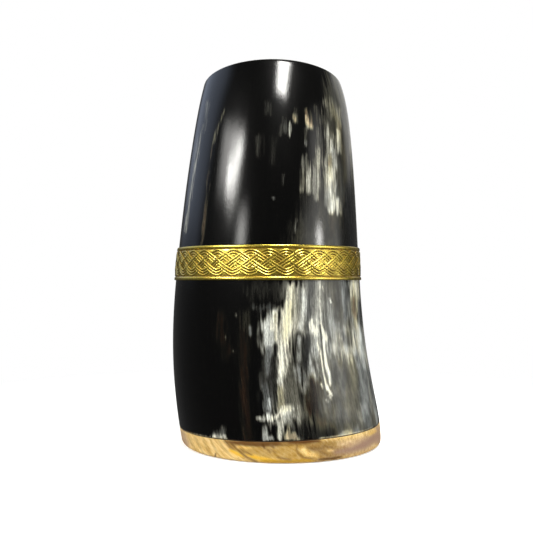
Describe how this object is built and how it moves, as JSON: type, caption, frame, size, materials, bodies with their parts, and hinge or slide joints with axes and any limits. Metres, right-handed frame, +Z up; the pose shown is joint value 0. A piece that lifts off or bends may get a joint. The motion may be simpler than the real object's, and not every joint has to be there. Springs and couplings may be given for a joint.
{
  "type": "horn drinking cup",
  "caption": "Drinking cup of polished dark horn, gently bent and tapering to a slanted rim, on a thin wooden base, with an embossed brass strip round its waist.",
  "frame": {"origin": "centre of the wooden base's resting face, on the table", "axes": "+Z up towards the drinking rim, -Y towards the front where the rim is highest, +X to the right as seen from the front"},
  "size_m": [0.083, 0.0778, 0.1483],
  "materials": {
    "horn": "polished natural horn, near black with pale streaks",
    "wood": "oiled light brown hardwood",
    "seal": "dark set glue",
    "brass": "embossed and polished"
  },
  "bodies": {
    "root": {"horn_body": "horn", "wood_base": "wood", "base_seal": "seal", "embossed_band": "brass", "band_pins": "brass"}
  },
  "joints": []
}
